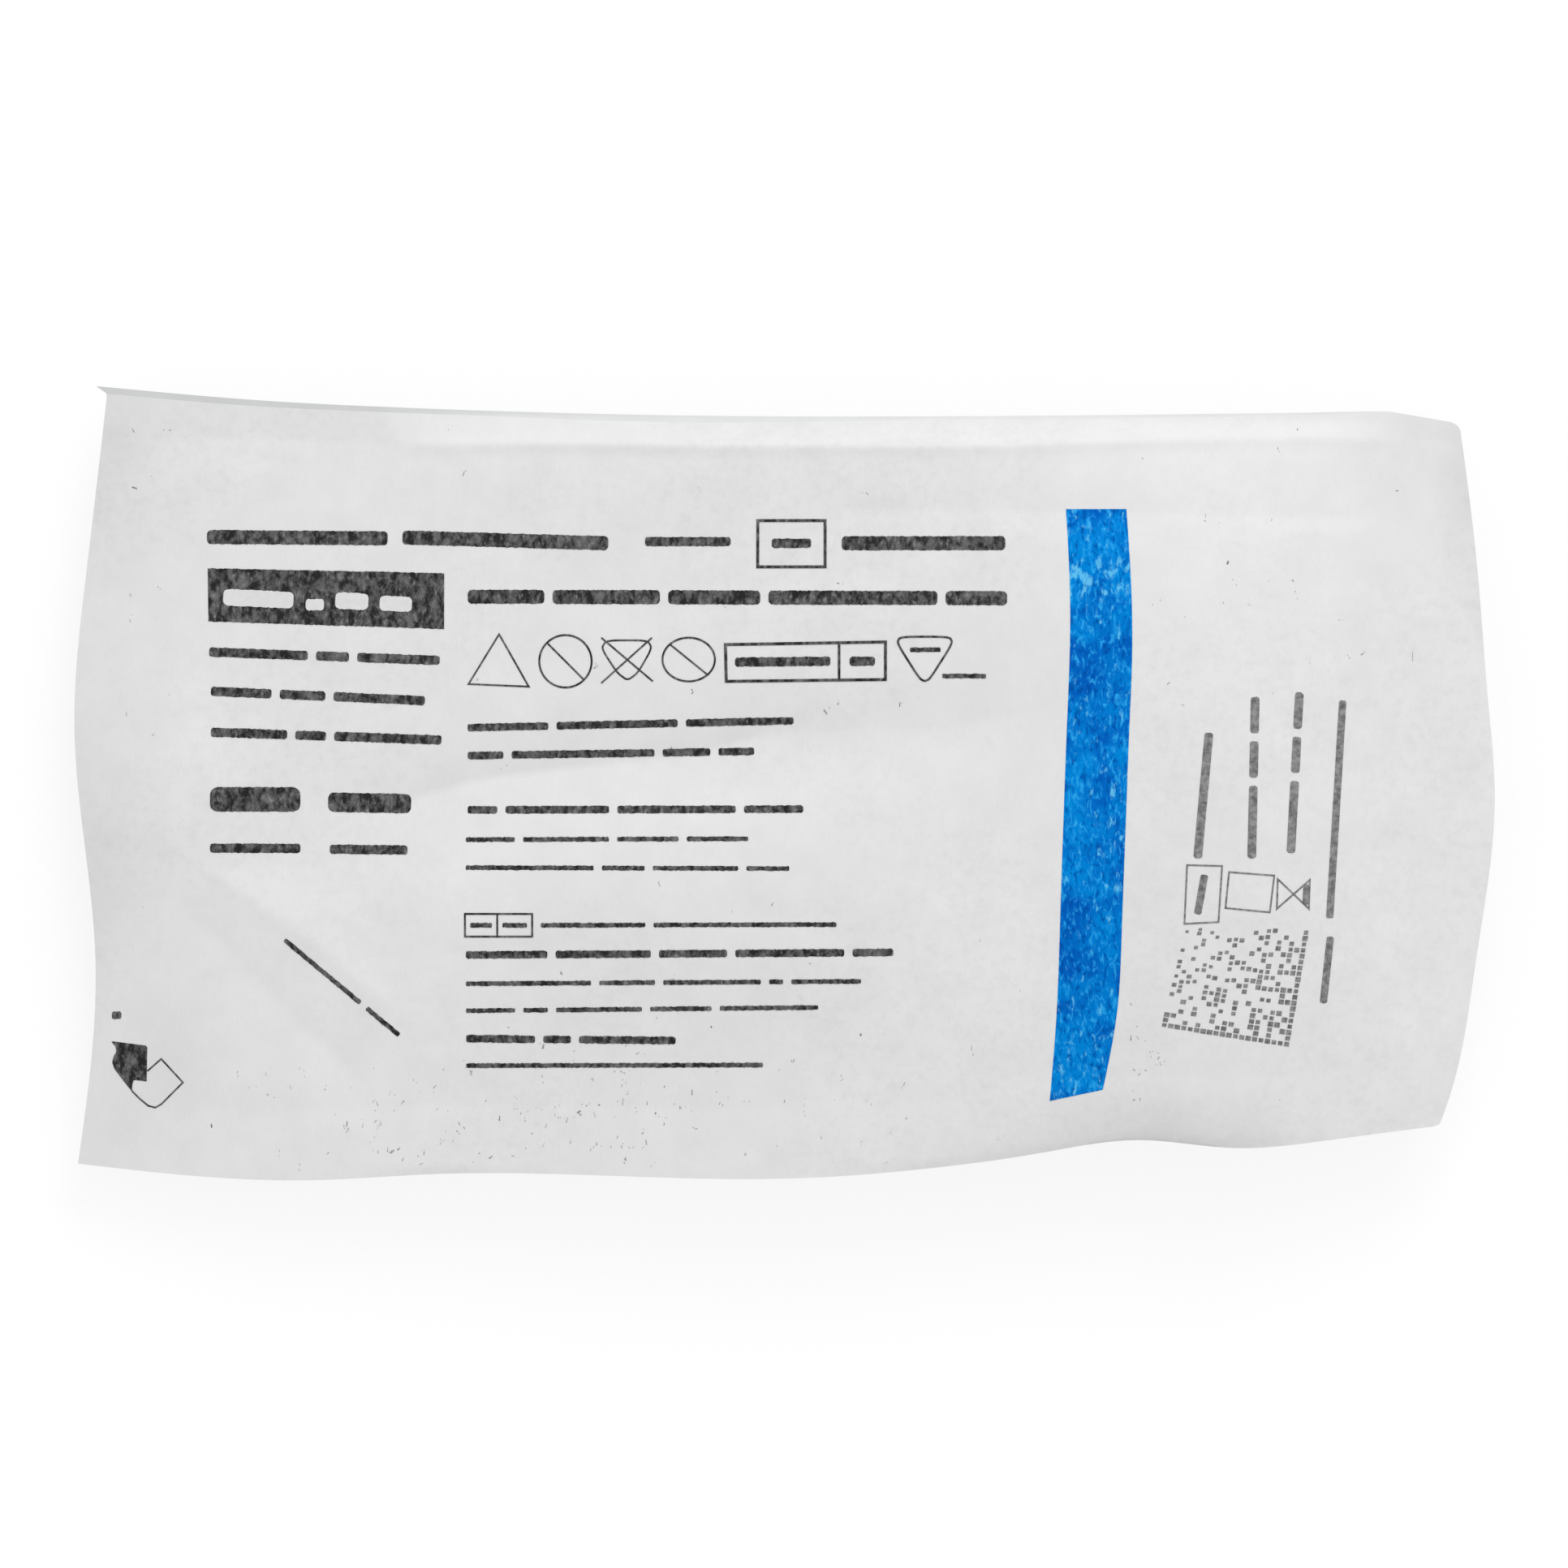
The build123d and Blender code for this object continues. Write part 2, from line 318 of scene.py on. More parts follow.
def welds_at(x, y):
    """The filled space under a place, much as the solid has it: along and across, both from -1
    to 1, and how far the bands round it have dropped: their slope times the way past the weld,
    with a roll where the bottom one turns under, a low bead where the top one is folded, and
    both cut edges curled."""
    inside = np.clip(x, WELD_LEFT, WELD_RIGHT)
    along = (2 * inside - WELD_LEFT - WELD_RIGHT) / (WELD_RIGHT - WELD_LEFT)
    from_fold = np.minimum(np.abs(inside - FOLD_MIDDLE) / FOLD_REACH, 1)
    top_slope = TOP_FOLD * arch(from_fold, FOLD_SQUARENESS)
    bottom_slope = BOTTOM_DROOP + ROLL_UNDER * hump(inside, ROLL_MIDDLE, ROLL_SPREAD)
    top_edge = HALF_WIDTH - np.interp(inside / HALF_LENGTH, *zip(*TOP_BOW))
    bottom_edge = np.interp(inside / HALF_LENGTH, *zip(*BOTTOM_BOW)) - HALF_WIDTH
    narrowing = SEAL_LOSS * np.clip((inside - SEAL_LOSS_RUN[0]) / np.ptp(SEAL_LOSS_RUN), 0, 1)
    top = top_edge - (TOP_SEAL - narrowing) * np.cos(top_slope)
    bottom = bottom_edge + BOTTOM_SEAL * np.cos(bottom_slope)
    across = np.clip((2 * y - top - bottom) / (top - bottom), -1, 1)
    past_bottom = np.maximum(bottom - y, 0)
    roll = np.tan(bottom_slope) - np.tan(BOTTOM_DROOP)
    fold_curl = FOLD_CURL * np.clip(1 - (top_edge - y) / FOLD_CURL_WIDTH, 0, 1) ** 2
    edge_curl = EDGE_CURL * np.clip(1 - (y - bottom_edge) / EDGE_CURL_WIDTH, 0, 1) ** 2
    dropped = (np.abs(x - inside) * np.tan(END_DROOP)
               + np.maximum(y - top, 0) * np.tan(top_slope)
               + past_bottom * np.tan(BOTTOM_DROOP) + past_bottom ** 2 * roll / BOTTOM_SEAL
               - (FOLD_BEAD * hump(y, top, FOLD_BEAD_REACH) + fold_curl) * top_slope / TOP_FOLD
               + edge_curl * sum(hump(inside, *each) for each in EDGE_CURLS))
    return along, across, dropped


def holder_lift(along):
    """How much the tube holder inside lifts the paper: a bell round the holder's middle."""
    x = WELD_LEFT + (along + 1) * (WELD_RIGHT - WELD_LEFT) / 2
    return HOLDER_RISE * hump(x, HOLDER_MIDDLE, HOLDER_SPREAD) * arch(along, END_SQUARENESS)


def weld_height(along, across):
    """Height of the surface where the two webs would meet, higher to the right and lifted by
    the tube holder along the bottom weld."""
    middle = arch(along, WELD_SQUARENESS)
    return (CORNER_HEIGHT + (SIDE_HEIGHT - CORNER_HEIGHT) * middle
            + (END_HEIGHT - CORNER_HEIGHT) * arch(across, END_WELD_SQUARENESS) * (1 - middle)
            + RIGHT_LIFT * (1 + along) / 2 + holder_lift(along) * ((1 - across) / 2) ** 2)


def crease(x, y, points, height, half_width):
    """A crease along a line of straight runs: its height falls off as exp(-distance / half width)
    from the nearest point of the line, with a rounded crest."""
    off = np.inf
    for (x0, y0), (x1, y1) in zip(points, points[1:]):
        share = ((x - x0) * (x1 - x0) + (y - y0) * (y1 - y0)) / ((x1 - x0) ** 2 + (y1 - y0) ** 2)
        share = np.clip(share, 0, 1)
        off = np.minimum(off, np.hypot(x - x0 - share * (x1 - x0), y - y0 - share * (y1 - y0)))
    return height * np.exp(-(np.sqrt(off ** 2 + CREASE_CREST ** 2) - CREASE_CREST) / half_width)


def paper_height(x, y):
    """Top of the paper in mm: the solid's taut sheet over the welds with its two bulges and the
    valley between, less the drop of the bands, plus the creases, which die out at the welds."""
    along, across, dropped = welds_at(x, y)
    taut = PAPER_RISE * arch(along, END_SQUARENESS) * arch(across, PAPER_SQUARENESS)
    over_holder = arch(np.maximum(across, 0), WELD_SQUARENESS) - ((1 - across) / 2) ** 2
    coil = (COIL_RISE * hump(x, COIL_MIDDLE[0], COIL_SPREAD[0])
            * hump(y, COIL_MIDDLE[1], COIL_SPREAD[1]))
    valley = (VALLEY_DEPTH * hump(y, VALLEY_MIDDLE + VALLEY_CLIMB * x, VALLEY_WIDTH)
              * hump(x, VALLEY_CENTRE, VALLEY_REACH))
    inside = arch(along, END_SQUARENESS) * arch(across, SIDE_SQUARENESS)
    creased = (sum(crease(x, y, *each) for each in CREASES) * arch(along, CREASE_SQUARENESS)
               * arch(across, CREASE_SQUARENESS))
    return (weld_height(along, across) + WEB_THICKNESS + taut + holder_lift(along) * over_holder
            - dropped + (coil - valley) * inside + creased)


def closed_films(name, finish, grids, top, bottom, sharp=SHARP_ANGLE):
    """One mesh of closed thin films. Each grid of places gives an upper sheet at the height that
    top gives and a lower one at bottom's, joined by a rim of quads. A grid whose last column
    comes back to its first is closed into a ring. Edges that bend past sharp aren't smoothed."""
    places, faces, total = [], [], 0
    for grid in grids:
        ring = np.allclose(grid[:, 0], grid[:, -1])
        grid = grid[:, :-1] if ring else grid
        count = grid.shape[0] * grid.shape[1]
        at = np.arange(count).reshape(grid.shape[:2])
        at = np.concatenate([at, at[:, :1]], 1) if ring else at
        upper = np.stack([at[:-1, :-1], at[:-1, 1:], at[1:, 1:], at[1:, :-1]], -1).reshape(-1, 4)
        edges = [np.stack([at[0, :-1], at[0, 1:]], -1), np.stack([at[-1, 1:], at[-1, :-1]], -1)]
        if not ring:
            edges += [np.stack([at[:-1, -1], at[1:, -1]], -1),
                      np.stack([at[1:, 0], at[:-1, 0]], -1)]
        edge = np.concatenate(edges)
        rim = np.stack([edge[:, 0], edge[:, 0] + count, edge[:, 1] + count, edge[:, 1]], -1)
        x, y = grid[..., 0].ravel(), grid[..., 1].ravel()
        side = ((x[at[0, 1]] - x[at[0, 0]]) * (y[at[1, 0]] - y[at[0, 0]])
                - (x[at[1, 0]] - x[at[0, 0]]) * (y[at[0, 1]] - y[at[0, 0]]))
        quads = np.concatenate([upper, upper[:, ::-1] + count, rim]) + total
        faces.append(quads if side > 0 else quads[:, ::-1])
        places += [np.stack([x, y, top(x, y)], -1), np.stack([x, y, bottom(x, y)], -1)]
        total += 2 * count
    places, faces = np.concatenate(places) / METRE, np.concatenate(faces)
    mesh = bpy.data.meshes.new(name)
    mesh.vertices.add(len(places))
    mesh.vertices.foreach_set("co", places.ravel())
    mesh.loops.add(faces.size)
    mesh.loops.foreach_set("vertex_index", faces.ravel())
    mesh.polygons.add(len(faces))
    mesh.polygons.foreach_set("loop_start", np.arange(len(faces)) * 4)
    mesh.update(calc_edges=True)
    mesh.shade_smooth()
    mesh.set_sharp_from_angle(angle=sharp)
    mesh.materials.append(finish)
    piece = bpy.data.objects.new(name, mesh)
    scene.collection.objects.link(piece)
    return piece


def spread_over(piece, name, places):
    """A value at each point of a piece: the sum of each place's amount, times a bell across X
    and a bell along Y."""
    points = np.empty(3 * len(piece.data.vertices), "f")
    piece.data.vertices.foreach_get("co", points)
    across, up = METRE * points[0::3], METRE * points[1::3]
    values = piece.data.attributes.new(name, "FLOAT", "POINT")
    values.data.foreach_set("value", sum(amount * hump(across, x, reach_x) * hump(up, y, reach_y)
                                         for (x, y), (reach_x, reach_y), amount in places))


# Spun-bonded fibre paper: matt white with cloudy thin and thick places, lots of small thin
# spots and a faint swirl of fibres, which the eye reads as a soft mottle and a broken sheen
PAPER_CLOUD_SIZE = 5.0
THIN_LOT_SIZE = 24.0
THIN_PLACE_SIZE = 1.1
FIBRE_WIDTH = 0.30
paper_finish, paper_tree = empty_finish("spun_bonded_fibre_paper")
paper_places = add_node(paper_tree, "ShaderNodeTexCoord").outputs["Object"]
paper_clouds = add_node(paper_tree, "ShaderNodeTexNoise", {
    "Vector": paper_places, "Scale": METRE / PAPER_CLOUD_SIZE, "Detail": 4.0, "Roughness": 0.6})
fibre_lie = add_node(paper_tree, "ShaderNodeMapping", {
    "Vector": paper_places, "Rotation": (0, 0, np.radians(8)), "Scale": (1.0, 0.25, 1.0)})
paper_fibres = add_node(paper_tree, "ShaderNodeTexNoise", {
    "Vector": fibre_lie.outputs[0], "Scale": METRE / FIBRE_WIDTH, "Detail": 3.0, "Roughness": 0.65,
    "Distortion": 0.8})
paper_tone = add_node(paper_tree, "ShaderNodeMix", {
    0: paper_clouds.outputs["Fac"], 6: linear("#DADADA"), 7: linear("#E8E8E8")}, data_type="RGBA")
fibre_shade = add_node(paper_tree, "ShaderNodeMapRange", {
    "Value": paper_fibres.outputs["Fac"], "From Min": 0.3, "From Max": 0.7, "To Min": 0.984,
    "To Max": 1.01})
paper_lots = add_node(paper_tree, "ShaderNodeTexNoise", {
    "Vector": paper_places, "Scale": METRE / THIN_LOT_SIZE, "Detail": 1.0})
thin_share = add_node(paper_tree, "ShaderNodeMapRange", {
    "Value": paper_lots.outputs["Fac"], "From Min": 0.42, "From Max": 0.60, "To Min": 0.15})
paper_mottle = add_node(paper_tree, "ShaderNodeTexNoise", {
    "Vector": paper_places, "Scale": METRE / THIN_PLACE_SIZE, "Detail": 3.0, "Roughness": 0.6})
thin_places = add_node(paper_tree, "ShaderNodeMapRange", {
    "Value": paper_mottle.outputs["Fac"], "From Min": 0.46, "From Max": 0.70, "To Max": 0.05})
thin_shade = add_node(paper_tree, "ShaderNodeMath", {
    0: thin_places.outputs[0], 1: thin_share.outputs[0]}, operation="MULTIPLY")
# Painted shade, and below zero painted light, in patches over the paper
paper_painted_shade = add_node(paper_tree, "ShaderNodeAttribute", attribute_name="painted_shade")
painted_shade_and_thin = add_node(paper_tree, "ShaderNodeMath", {
    0: paper_painted_shade.outputs["Fac"], 1: thin_shade.outputs[0]}, operation="ADD")
paper_left = add_node(paper_tree, "ShaderNodeMath", {
    0: 1.0, 1: painted_shade_and_thin.outputs[0]}, operation="SUBTRACT")
paper_shade = add_node(paper_tree, "ShaderNodeMath", {
    0: fibre_shade.outputs[0], 1: paper_left.outputs[0]}, operation="MULTIPLY")
paper_colour = add_node(paper_tree, "ShaderNodeVectorMath", {
    0: paper_tone.outputs[2], 1: paper_shade.outputs[0]}, operation="MULTIPLY")
paper_gloss = add_node(paper_tree, "ShaderNodeMapRange", {
    "Value": paper_clouds.outputs["Fac"], "To Min": 0.58, "To Max": 0.74})
paper_bump = add_node(paper_tree, "ShaderNodeBump", {
    "Height": paper_fibres.outputs["Fac"], "Strength": 0.35, "Distance": 0.00003})
paper_shader = add_node(paper_tree, "ShaderNodeBsdfPrincipled", {
    "Base Color": paper_colour.outputs[0], "Roughness": paper_gloss.outputs[0],
    "Normal": paper_bump.outputs[0], "IOR": 1.5, "Specular IOR Level": 0.3})
add_node(paper_tree, "ShaderNodeOutputMaterial", {"Surface": paper_shader.outputs[0]})

paper_web = closed_films(
    "paper_web", paper_finish, [sheet_places(*PAPER_GRID, TOP_LEFT, TOP_RIM)], paper_height,
    lambda x, y: paper_height(x, y) - PAPER_THICKNESS)
# Patches of painted shade and painted light over the paper web
spread_over(paper_web, "painted_shade", PAINTED_SHADE_PLACES)
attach(paper_web, "root")
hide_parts("sealed_pouch")


# The film web: the back of the pouch, a tough milky film drawn into a shallow tray that holds
# the contents. It is welded to the paper round its edge and pressed flat where it rests.
FILM_GRID = (184, 132)
GRAIN_SIZE = 7.0
PLEAT_DEPTH, PLEAT_RUN, PLEAT_BREAK = 0.16, 2.1, 2.9
PLEAT_SWAY, PLEAT_SWAY_RUN = 0.7, 5.0


def film_height(x, y):
    """Outside of the film in mm: the solid's tray under the welds, cut off at the table, with
    soft pleats down its walls, a swaying sine along X times a cosine along Y, that fade out at
    the weld and at the table."""
    along, across, dropped = welds_at(x, y)
    depth = SIDE_HEIGHT + RIGHT_LIFT * (1 + along) / 2 + BELLY_FLATTENING
    tray = arch(along, END_SQUARENESS) * arch(across, SIDE_SQUARENESS)
    walls = 4 * tray * (1 - tray)
    sway = PLEAT_SWAY * np.sin(y / PLEAT_SWAY_RUN)
    pleats = PLEAT_DEPTH * walls * np.sin(x / PLEAT_RUN + sway) * np.cos(y / PLEAT_BREAK)
    return np.maximum(weld_height(along, across) - dropped - depth * tray + pleats, 0)


# Co-extruded pouch film: smooth and milky, with a soft gloss and a slight drawn grain. Its grey
# is darker than such film's own, partly painted shade, so its thin rim past the paper's top edge
# shows as a dark line
film_finish, film_tree = empty_finish("milky_coextruded_film")
film_places = add_node(film_tree, "ShaderNodeTexCoord").outputs["Object"]
film_grain = add_node(film_tree, "ShaderNodeTexNoise", {
    "Vector": film_places, "Scale": METRE / GRAIN_SIZE, "Detail": 3.0, "Roughness": 0.5})
# Greyer than the film's own tone: partly painted shade for the dark line of its rim
film_colour = add_node(film_tree, "ShaderNodeMix", {
    0: film_grain.outputs["Fac"], 6: linear("#C6C7C7"), 7: linear("#D4D5D5")}, data_type="RGBA")
film_gloss = add_node(film_tree, "ShaderNodeMapRange", {
    "Value": film_grain.outputs["Fac"], "To Min": 0.24, "To Max": 0.38})
film_bump = add_node(film_tree, "ShaderNodeBump", {
    "Height": film_grain.outputs["Fac"], "Strength": 0.3, "Distance": 0.0002})
film_shader = add_node(film_tree, "ShaderNodeBsdfPrincipled", {
    "Base Color": film_colour.outputs[2], "Roughness": film_gloss.outputs[0],
    "Normal": film_bump.outputs[0], "IOR": 1.5})
add_node(film_tree, "ShaderNodeOutputMaterial", {"Surface": film_shader.outputs[0]})

film_web = closed_films(
    "film_web", film_finish, [sheet_places(*FILM_GRID, FILM_TIP)],
    lambda x, y: film_height(x, y) + WEB_THICKNESS - PAPER_THICKNESS, film_height)
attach(film_web, "root")
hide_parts("sealed_pouch")


# The ink stripe: a broad band of blue flexographic ink across the paper, which tells one size
# of set from another at a glance. It is printed before the pouch is filled, so it bends.
STRIPE_LEFT = [(32.25, 31.3), (32.7, 20.0), (32.3, 6.0), (31.95, -3.3), (31.5, -17.3),
               (31.2, -25.7), (30.4, -36.4)]
STRIPE_RIGHT = [(39.15, 31.3), (39.7, 20.9), (39.75, 15.3), (39.4, 6.0), (39.05, -3.3),
                (38.55, -17.3), (38.1, -25.7), (36.45, -35.1)]
STRIPE_GRID = (14, 140)
# Bands along the stripe drawn lighter and with more thin spots, and below zero darker: middle,
# reach and amount
STRIPE_BANDS = [
    ((36.0, 23.6), (12.0, 3.4), 0.18), ((36.0, 14.6), (12.0, 3.2), -0.09),
    ((36.0, 8.2), (12.0, 2.8), 0.055), ((35.0, -15.3), (12.0, 1.8), 0.055),
    ((35.0, -20.0), (12.0, 2.8), -0.085), ((34.0, -31.0), (12.0, 6.0), 0.08),
]
INK_LIFT, INK_DEPTH = 0.04, 0.03
STROKE_SIZE, INK_CLOUD_SIZE, INK_SPOT_SIZE = 0.5, 5.0, 0.8
BAND_SPOTS = 0.5


def ink_top(x, y):
    return paper_height(x, y) + INK_LIFT


def ink_bottom(x, y):
    return paper_height(x, y) - INK_DEPTH


def between_lines(first, second, rows):
    """Places between two lines of as many points: straight blends from one to the other."""
    share = np.linspace(0, 1, rows)[:, None, None]
    return (1 - share) * first[None] + share * second[None]


# Blue ink on spun fibre: cloudy full tone, broken by short upright strokes where it pools
# or a fibre stays pale, and by spots with little ink, more of them in the bands drawn lighter
stripe_finish, stripe_tree = empty_finish("blue_ink_on_fibre")
stripe_places = add_node(stripe_tree, "ShaderNodeTexCoord").outputs["Object"]
stripe_lie = add_node(stripe_tree, "ShaderNodeMapping", {
    "Vector": stripe_places, "Scale": (1.0, 0.45, 1.0)})
stripe_curls = add_node(stripe_tree, "ShaderNodeTexNoise", {
    "Vector": stripe_lie.outputs[0], "Scale": METRE / STROKE_SIZE, "Detail": 3.0, "Roughness": 0.6,
    "Distortion": 0.7})
stripe_clouds = add_node(stripe_tree, "ShaderNodeTexNoise", {
    "Vector": stripe_places, "Scale": METRE / INK_CLOUD_SIZE, "Detail": 4.0, "Roughness": 0.6})
stripe_spots = add_node(stripe_tree, "ShaderNodeTexNoise", {
    "Vector": stripe_lie.outputs[0], "Scale": METRE / INK_SPOT_SIZE, "Detail": 3.0,
    "Roughness": 0.6})
# The stripe drawn lighter in bands, and darker where the amount is below zero
stripe_band_amount = add_node(stripe_tree, "ShaderNodeAttribute", attribute_name="stripe_bands")
stripe_thin_spots = add_node(stripe_tree, "ShaderNodeMath", {
    0: stripe_band_amount.outputs["Fac"], 1: BAND_SPOTS, 2: stripe_spots.outputs["Fac"]},
    operation="MULTIPLY_ADD")
stripe_cover = add_node(stripe_tree, "ShaderNodeMath", {
    0: stripe_clouds.outputs["Fac"], 1: stripe_band_amount.outputs["Fac"]}, operation="ADD")
stripe_deep = add_node(stripe_tree, "ShaderNodeMapRange", {
    "Value": stripe_cover.outputs[0], "From Min": 0.40, "From Max": 0.62})
stripe_body = add_node(stripe_tree, "ShaderNodeMix", {
    0: stripe_deep.outputs[0], 6: linear("#005EBC"), 7: linear("#0084D8")}, data_type="RGBA")
stripe_pools = add_node(stripe_tree, "ShaderNodeMapRange", {
    "Value": stripe_curls.outputs["Fac"], "From Min": 0.46, "From Max": 0.34, "To Max": 0.8})
stripe_pooled = add_node(stripe_tree, "ShaderNodeMix", {
    0: stripe_pools.outputs[0], 6: stripe_body.outputs[2], 7: linear("#004A9E")},
    data_type="RGBA")
stripe_breaks = add_node(stripe_tree, "ShaderNodeMapRange", {
    "Value": stripe_curls.outputs["Fac"], "From Min": 0.54, "From Max": 0.68, "To Max": 0.85})
stripe_streaked = add_node(stripe_tree, "ShaderNodeMix", {
    0: stripe_breaks.outputs[0], 6: stripe_pooled.outputs[2], 7: linear("#2EA8EC")},
    data_type="RGBA")
stripe_thin = add_node(stripe_tree, "ShaderNodeMapRange", {
    "Value": stripe_thin_spots.outputs[0], "From Min": 0.61, "From Max": 0.72, "To Max": 0.85})
stripe_colour = add_node(stripe_tree, "ShaderNodeMix", {
    0: stripe_thin.outputs[0], 6: stripe_streaked.outputs[2], 7: linear("#66C4F0")},
    data_type="RGBA")
stripe_bump = add_node(stripe_tree, "ShaderNodeBump", {
    "Height": stripe_curls.outputs["Fac"], "Strength": 0.3, "Distance": 0.00003})
stripe_shader = add_node(stripe_tree, "ShaderNodeBsdfPrincipled", {
    "Base Color": stripe_colour.outputs[2], "Roughness": 0.6, "Normal": stripe_bump.outputs[0],
    "IOR": 1.5, "Specular IOR Level": 0.02})
add_node(stripe_tree, "ShaderNodeOutputMaterial", {"Surface": stripe_shader.outputs[0]})

stripe_sides = [evenly(smooth_line(side), STRIPE_GRID[1]) for side in (STRIPE_LEFT, STRIPE_RIGHT)]
ink_stripe = closed_films("ink_stripe", stripe_finish, [
    between_lines(*stripe_sides, STRIPE_GRID[0])], ink_top, ink_bottom)
# Bands where the stripe is drawn lighter, and below zero darker
spread_over(ink_stripe, "stripe_bands", STRIPE_BANDS)
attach(ink_stripe, "root")


# The black print: a filled panel, plain bars in place of the lines of words, and the frames of
# a row of symbols: one ink, printed in one pass with the stripe.
PANEL = [(-66.0, 18.5), (-38.9, 17.6), (-38.9, 24.0), (-66.1, 24.6)]
PANEL_GRID = (15, 110)
STEP, RAGGED_EDGE, EDGE_SEED = 0.25, 0.045, 19
MOTTLE_SIZE, THIN_SPOT_SIZE, BARE_SIZE = 0.9, 0.45, 0.7
# Height of a line's bars: its letters' weight, spread evenly
HEAVY, BOLD, MEDIUM, PLAIN = 1.6, 1.05, 0.85, 0.52
# Lines of words: start, end, bar height and the words' lengths, as shares
WORD_LINES = [
    ((-66.2, 28.2), (-45.4, 28.0), HEAVY, (9,)),
    ((-43.7, 28.1), (-20.1, 27.4), HEAVY, (10,)),
    ((-15.9, 27.6), (-6.1, 27.6), BOLD, (5,)),
    ((-1.4, 27.4), (3.1, 27.4), BOLD, (3,)),
    ((6.6, 27.4), (25.3, 27.4), HEAVY, (6,)),
    ((-36.2, 21.3), (25.5, 21.1), HEAVY, (5, 7, 6, 11, 4)),
    ((-65.9, 15.0), (-39.4, 14.0), BOLD, (6, 2, 5)),
    ((-65.7, 10.5), (-41.1, 9.4), BOLD, (4, 3, 6)),
    ((-65.7, 5.8), (-39.2, 4.9), BOLD, (5, 2, 7)),
    ((-36.2, 6.3), (1.1, 7.1), MEDIUM, (6, 9, 8)),
    ((-36.2, 3.1), (-3.4, 3.6), MEDIUM, (3, 12, 4, 3)),
    ((-65.8, -1.9), (-55.4, -1.9), 2.8, (3,)),
    ((-65.8, -7.5), (-55.4, -7.5), BOLD, (4,)),
    ((-52.2, -2.2), (-42.7, -2.4), 2.2, (3,)),
    ((-52.0, -7.6), (-43.1, -7.7), BOLD, (4,)),
    ((-36.2, -3.1), (2.2, -3.0), MEDIUM, (2, 7, 8, 4)),
    ((-36.4, -6.5), (-4.1, -6.4), PLAIN, (4, 7, 5, 5)),
    ((-36.4, -9.7), (0.6, -9.8), PLAIN, (9, 3, 6, 3)),
    ((-35.9, -16.3), (-33.4, -16.3), PLAIN, (1,)),
    ((-32.2, -16.3), (-29.4, -16.3), PLAIN, (1,)),
    ((-27.8, -16.3), (6.0, -16.2), PLAIN, (8, 14)),
    ((-36.4, -19.7), (12.5, -19.4), MEDIUM, (6, 7, 5, 8, 3)),
    ((-36.4, -23.0), (8.8, -22.7), PLAIN, (9, 4, 7, 1, 5)),
    ((-36.4, -26.1), (3.9, -25.7), PLAIN, (4, 2, 7, 5, 8)),
    ((-36.4, -29.3), (-12.4, -29.5), MEDIUM, (5, 2, 7)),
    ((-36.4, -32.4), (-2.4, -32.3), PLAIN, (20,)),
    ((-57.2, -18.0), (-44.1, -28.9), PLAIN, (7, 3)),
    ((-77.2, -26.7), (-76.1, -26.7), MEDIUM, (1,)),
    ((-5.6, 13.8), (5.3, 13.9), BOLD, (7,)),
    ((7.5, 13.9), (10.4, 13.9), BOLD, (2,)),
    ((14.4, 15.2), (17.9, 15.2), PLAIN, (3,)),
    ((18.1, 12.2), (23.1, 12.2), PLAIN, (4,)),
]
PANEL_LINES = [
    ((-64.3, 21.3), (-56.2, 20.9), 1.9, (3,)),
    ((-54.8, 20.4), (-52.7, 20.4), 1.3, (1,)),
    ((-51.4, 20.9), (-47.6, 20.7), 1.9, (3,)),
    ((-46.3, 20.6), (-42.6, 20.4), 1.7, (2,)),
]
WORD_GAP = 0.95
# A bar's corner radius as a share of its height, the points round each corner, and the height
# past which it has a middle row as well
BAR_CORNER, BAR_CORNER_POINTS, TALL_BAR = 0.3, 5, 1.0
# The symbols' frames: corners and the line's width
FRAME_LINES = [
    ([(-3.0, 30.0), (4.7, 30.0), (4.7, 24.7), (-3.0, 24.7)], 0.34),
    ([(-32.6, 17.0), (-36.1, 11.3), (-29.2, 11.0)], 0.20),
    ([(-6.7, 15.8), (11.6, 16.1), (11.6, 11.8), (-6.6, 11.6)], 0.34),
    ([(-36.5, -15.0), (-28.8, -15.0), (-28.8, -17.6), (-36.5, -17.6)], 0.22),
]
SOFT_FRAMES = [
    ([(-20.3, 16.3), (-15.6, 16.3), (-15.1, 15.4), (-16.7, 12.6), (-17.9, 11.7), (-19.1, 12.6),
      (-20.9, 15.4)], 0.20),
    ([(13.3, 16.7), (18.9, 16.7), (19.3, 16.0), (16.7, 11.9), (16.1, 11.6), (15.5, 11.9),
      (12.9, 16.0)], 0.24),
]
RINGS = [((-25.0, 13.9), 3.0, 3.0), ((-10.9, 14.1), 3.0, 2.5)]
RING_LINE = 0.22
CROSS_LINES = [
    ((-27.1, 16.0), (-22.9, 11.8), 0.20), ((-13.0, 15.8), (-8.8, 12.4), 0.20),
    ((-20.9, 16.6), (-15.0, 11.6), 0.20), ((-15.1, 16.6), (-20.9, 11.4), 0.20),
    ((6.3, 16.0), (6.3, 11.7), 0.30), ((-32.8, -15.0), (-32.8, -17.6), 0.20),
]
FRAME_LIFT, BARE_LIFT = 0.01, 0.03

edge_draw = np.random.default_rng(EDGE_SEED)


def ragged(edge):
    """The edge moved up or down a little at each point, as the fibres let the ink run."""
    return edge + edge_draw.uniform(-RAGGED_EDGE, RAGGED_EDGE, (len(edge), 1)) * (0, 1)


